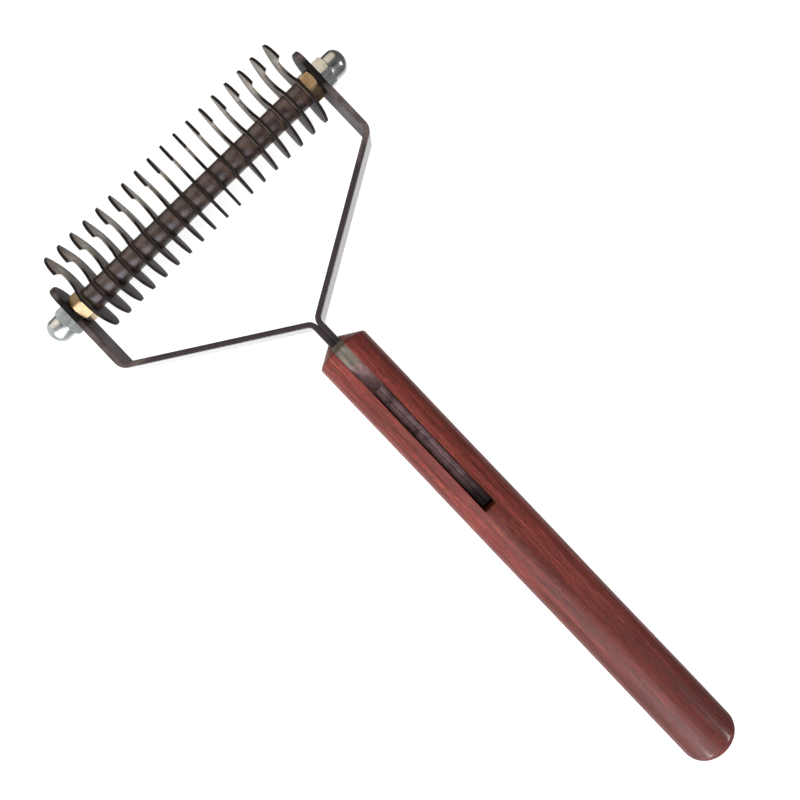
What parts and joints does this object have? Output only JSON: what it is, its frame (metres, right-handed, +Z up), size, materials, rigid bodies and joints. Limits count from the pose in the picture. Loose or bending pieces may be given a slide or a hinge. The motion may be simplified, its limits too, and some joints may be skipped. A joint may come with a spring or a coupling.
{
  "type": "mane thinning comb",
  "caption": "Bladed mane and coat thinning comb: a row of hooked blades on a threaded spindle, held by two bent steel strips set in a round wooden handle.",
  "frame": {"origin": "middle of the bounding box's bottom face, on the surface that the comb lies on", "axes": "+X along the spindle, +Y from the handle's butt towards the hooks, +Z up, the way the hooks' points turn"},
  "size_m": [0.1012, 0.2018, 0.0148],
  "materials": {
    "handle_wood": "satin lacquered reddish-brown hardwood, fine lengthwise grain",
    "tang_filler": "dull grey-beige bedding compound",
    "frame_steel": "blackened, burnished flat steel strip",
    "blade_steel": "blackened, burnished spring steel",
    "spacer_steel": "dark oiled steel",
    "rod_steel": "plain threaded steel",
    "yellow_zinc": "yellow passivated zinc",
    "bright_nickel": "bright nickel plate"
  },
  "bodies": {
    "frame": {"handle": "handle_wood", "slot_filler": "tang_filler", "frame_strip_left": "frame_steel", "frame_strip_right": "frame_steel"},
    "blade_row": {"threaded_rod": "rod_steel", "blade_01": "blade_steel", "blade_02": "blade_steel", "blade_03": "blade_steel", "blade_04": "blade_steel", "blade_05": "blade_steel", "blade_06": "blade_steel", "blade_07": "blade_steel", "blade_08": "blade_steel", "blade_09": "blade_steel", "blade_10": "blade_steel", "blade_11": "blade_steel", "blade_12": "blade_steel", "blade_13": "blade_steel", "blade_14": "blade_steel", "blade_15": "blade_steel", "blade_16": "blade_steel", "blade_17": "blade_steel", "blade_18": "blade_steel", "spacer_01": "spacer_steel", "spacer_02": "spacer_steel", "spacer_03": "spacer_steel", "spacer_04": "spacer_steel", "spacer_05": "spacer_steel", "spacer_06": "spacer_steel", "spacer_07": "spacer_steel", "spacer_08": "spacer_steel", "spacer_09": "spacer_steel", "spacer_10": "spacer_steel", "spacer_11": "spacer_steel", "spacer_12": "spacer_steel", "spacer_13": "spacer_steel", "spacer_14": "spacer_steel", "spacer_15": "spacer_steel", "spacer_16": "spacer_steel", "spacer_17": "spacer_steel", "hex_nut_left": "yellow_zinc", "hex_nut_right": "yellow_zinc"},
    "cap_left": {"cap_nut_left": "bright_nickel"},
    "cap_right": {"cap_nut_right": "bright_nickel"}
  },
  "joints": [
    {"name": "row_turn", "type": "hinge", "parent": "frame", "child": "blade_row", "pos_m": [0, 0.08665, 0.0074], "axis": [1, 0, 0], "continuous": true},
    {"name": "cap_right_turn", "type": "hinge", "parent": "blade_row", "child": "cap_right", "pos_m": [0.046, 0.08665, 0.0074], "axis": [1, 0, 0], "range_deg": [0, 180]},
    {"name": "cap_left_turn", "type": "hinge", "parent": "blade_row", "child": "cap_left", "pos_m": [-0.046, 0.08665, 0.0074], "axis": [-1, 0, 0], "range_deg": [0, 180]}
  ]
}
